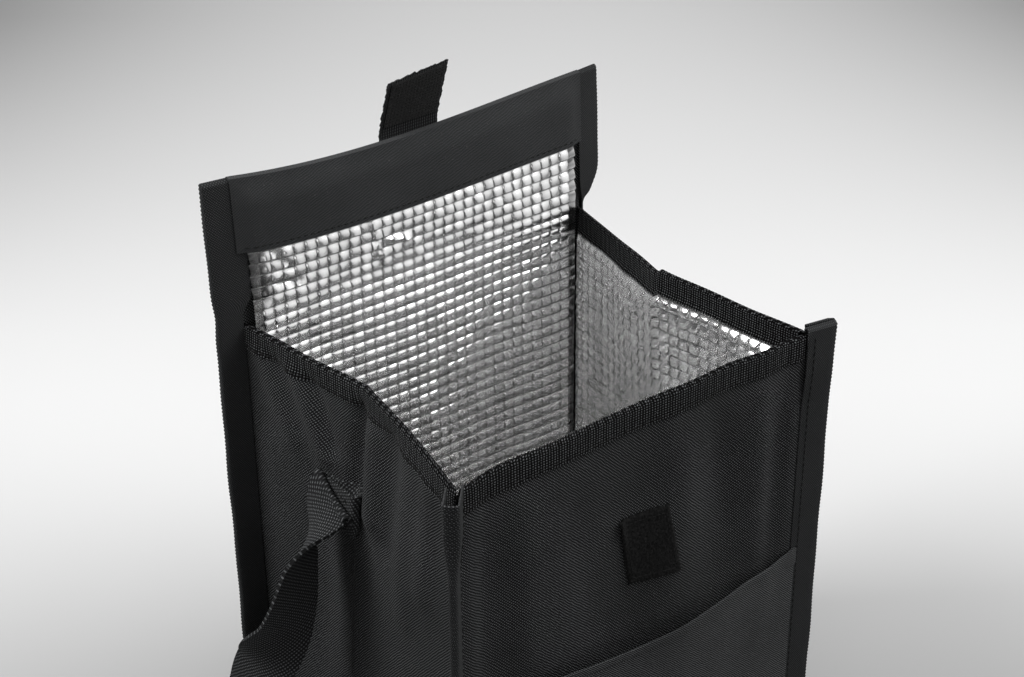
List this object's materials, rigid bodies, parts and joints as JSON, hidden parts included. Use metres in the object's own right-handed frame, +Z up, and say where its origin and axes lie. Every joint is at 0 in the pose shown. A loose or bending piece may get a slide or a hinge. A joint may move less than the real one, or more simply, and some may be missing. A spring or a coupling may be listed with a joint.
{
  "type": "insulated lunch bag",
  "caption": "Soft insulated lunch bag standing open, with a foil lining, creased side gussets, taped seams, a flap with a hook tab, a front pocket and a webbing handle.",
  "frame": {"origin": "middle of the base's underside, on the floor", "axes": "+X to the right seen from the front, +Y from the front panel to the back panel, +Z up"},
  "size_m": [0.2416, 0.1871, 0.3139],
  "materials": {
    "shell_cloth": "matte twill cloth",
    "binding_tape": "ribbed tape",
    "padding_foam": "closed-cell foam",
    "foil_lining": "embossed foil film",
    "webbing": "woven webbing",
    "loop_pile": "loop pile",
    "hook_tape": "hook tape"
  },
  "bodies": {
    "bag": {"front_panel": "shell_cloth", "back_panel": "shell_cloth", "base_panel": "shell_cloth", "left_gusset": "shell_cloth", "right_gusset": "shell_cloth", "pocket_panel": "shell_cloth", "front_rim_binding": "binding_tape", "left_rim_binding": "binding_tape", "right_rim_binding": "binding_tape", "front_left_binding": "binding_tape", "front_right_binding": "binding_tape", "back_left_binding": "binding_tape", "back_right_binding": "binding_tape", "base_left_binding": "binding_tape", "base_right_binding": "binding_tape", "front_foam": "padding_foam", "back_foam": "padding_foam", "base_foam": "padding_foam", "left_foam": "padding_foam", "right_foam": "padding_foam", "front_liner": "foil_lining", "back_liner": "foil_lining", "base_liner": "foil_lining", "left_liner": "foil_lining", "right_liner": "foil_lining", "left_handle_anchor": "webbing", "right_handle_anchor": "webbing", "loop_patch": "loop_pile"},
    "flap": {"flap_panel": "shell_cloth", "flap_foam": "padding_foam", "flap_liner": "foil_lining", "flap_band": "shell_cloth", "flap_left_binding": "binding_tape", "flap_right_binding": "binding_tape"},
    "tab": {"closure_tab": "shell_cloth", "hook_strip": "hook_tape"},
    "handle": {"handle_strap": "webbing"}
  },
  "joints": [
    {"name": "flap_fold", "type": "hinge", "parent": "bag", "child": "flap", "pos_m": [0, 0.07, 0.235], "axis": [1, 0, 0], "range_deg": [-150, 90]},
    {"name": "tab_fold", "type": "hinge", "parent": "flap", "child": "tab", "pos_m": [0, 0.07064, 0.29212], "axis": [1, 0, 0], "range_deg": [-90, 90]},
    {"name": "handle_swing", "type": "hinge", "parent": "bag", "child": "handle", "pos_m": [0, 0.015, 0.185], "axis": [1, 0, 0], "range_deg": [0, 300]}
  ]
}
